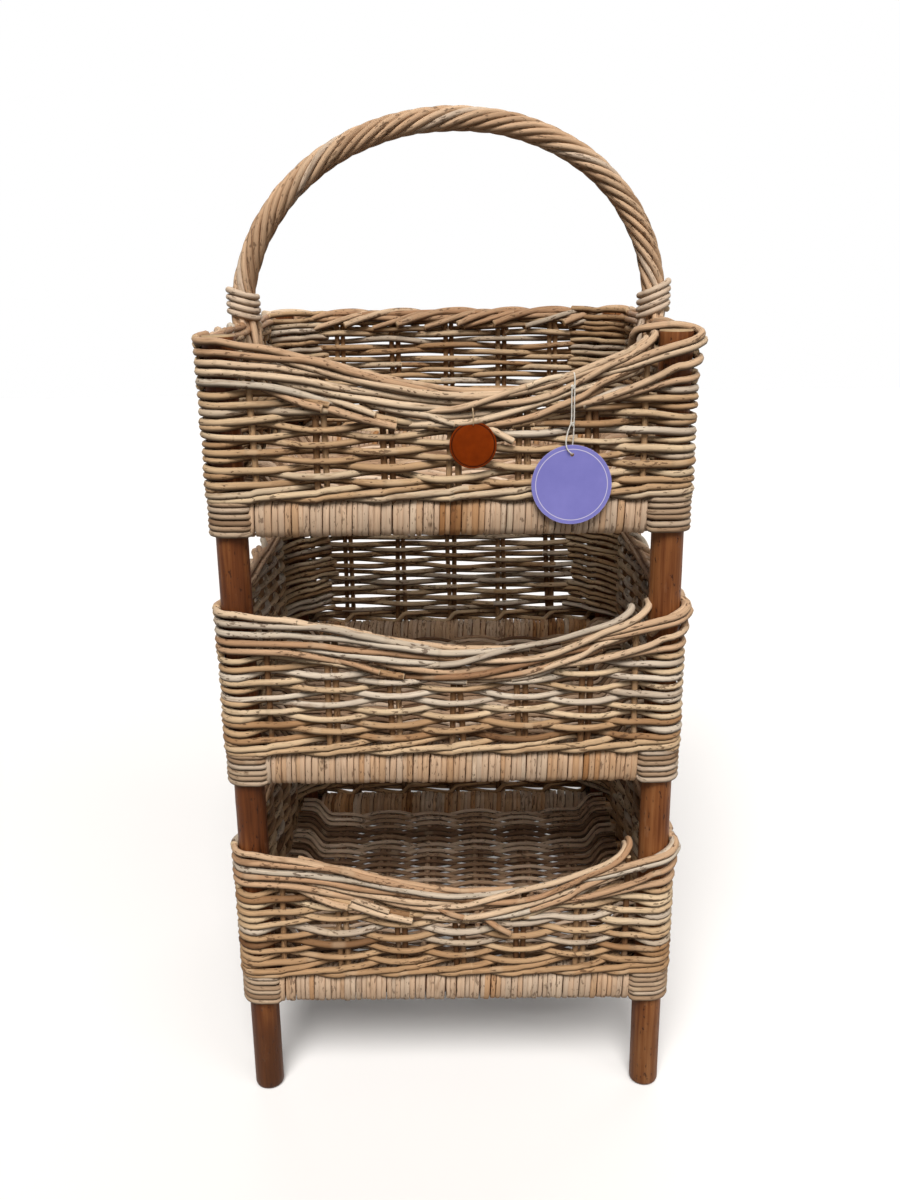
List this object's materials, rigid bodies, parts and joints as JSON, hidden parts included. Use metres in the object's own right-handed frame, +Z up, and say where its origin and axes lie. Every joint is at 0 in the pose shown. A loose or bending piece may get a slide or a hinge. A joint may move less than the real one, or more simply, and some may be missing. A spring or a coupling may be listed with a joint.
{
  "type": "tiered basket stand",
  "caption": "Free-standing rattan stand of stacked open baskets with dipped fronts on full-height posts, carried by a hoop handle.",
  "frame": {"origin": "on the floor, midway between the four posts", "axes": "+Z up, -Y towards the dipped fronts, +X to the right as seen from the front"},
  "size_m": [0.4686, 0.4424, 1.0013],
  "materials": {
    "pole": "satin brown bark",
    "wrapped_cane": "matt grey-tan flat cane",
    "woven_cane": "matt weathered cane",
    "border_cane": "matt weathered cane",
    "leather": "smooth semi-gloss leather",
    "card": "matt printed card",
    "string": "twisted cotton"
  },
  "bodies": {
    "stand": {"post_front_left": "pole", "post_front_right": "pole", "post_back_right": "pole", "post_back_left": "pole", "rail_pole_bottom_front": "pole", "rail_pole_bottom_back": "pole", "rail_pole_bottom_left": "pole", "rail_pole_bottom_right": "pole", "rail_pole_middle_front": "pole", "rail_pole_middle_back": "pole", "rail_pole_middle_left": "pole", "rail_pole_middle_right": "pole", "rail_pole_top_front": "pole", "rail_pole_top_back": "pole", "rail_pole_top_left": "pole", "rail_pole_top_right": "pole", "rail_wrap_bottom_front": "wrapped_cane", "rail_wrap_bottom_back": "wrapped_cane", "rail_wrap_bottom_left": "wrapped_cane", "rail_wrap_bottom_right": "wrapped_cane", "rail_wrap_middle_front": "wrapped_cane", "rail_wrap_middle_back": "wrapped_cane", "rail_wrap_middle_left": "wrapped_cane", "rail_wrap_middle_right": "wrapped_cane", "rail_wrap_top_front": "wrapped_cane", "rail_wrap_top_back": "wrapped_cane", "rail_wrap_top_left": "wrapped_cane", "rail_wrap_top_right": "wrapped_cane", "lashing_bottom_front_left": "wrapped_cane", "lashing_bottom_front_right": "wrapped_cane", "lashing_bottom_back_right": "wrapped_cane", "lashing_bottom_back_left": "wrapped_cane", "lashing_middle_front_left": "wrapped_cane", "lashing_middle_front_right": "wrapped_cane", "lashing_middle_back_right": "wrapped_cane", "lashing_middle_back_left": "wrapped_cane", "lashing_top_front_left": "wrapped_cane", "lashing_top_front_right": "wrapped_cane", "lashing_top_back_right": "wrapped_cane", "lashing_top_back_left": "wrapped_cane", "floor_bottom": "woven_cane", "floor_middle": "woven_cane", "floor_top": "woven_cane", "wall_front_bottom": "woven_cane", "wall_front_middle": "woven_cane", "wall_front_top": "woven_cane", "wall_sides_back_bottom": "woven_cane", "wall_sides_back_middle": "woven_cane", "wall_sides_back_top": "woven_cane", "border_bottom": "border_cane", "border_middle": "border_cane", "border_top": "border_cane", "handle": "border_cane", "handle_binding_left": "border_cane", "handle_binding_right": "border_cane", "rim_cane_top": "border_cane", "leather_patch": "leather"},
    "tag_string": {"tag_string": "string"},
    "swing_tag": {"swing_tag": "card"}
  },
  "joints": [
    {"name": "string_swing", "type": "hinge", "parent": "stand", "child": "tag_string", "pos_m": [0.11, -0.21557, 0.75553], "axis": [-1, 0, 0], "range_deg": [0, 75]},
    {"name": "tag_turn", "type": "hinge", "parent": "tag_string", "child": "swing_tag", "pos_m": [0.11, -0.2206, 0.68903], "axis": [0, 1, 0], "range_deg": [-40, 40]}
  ]
}
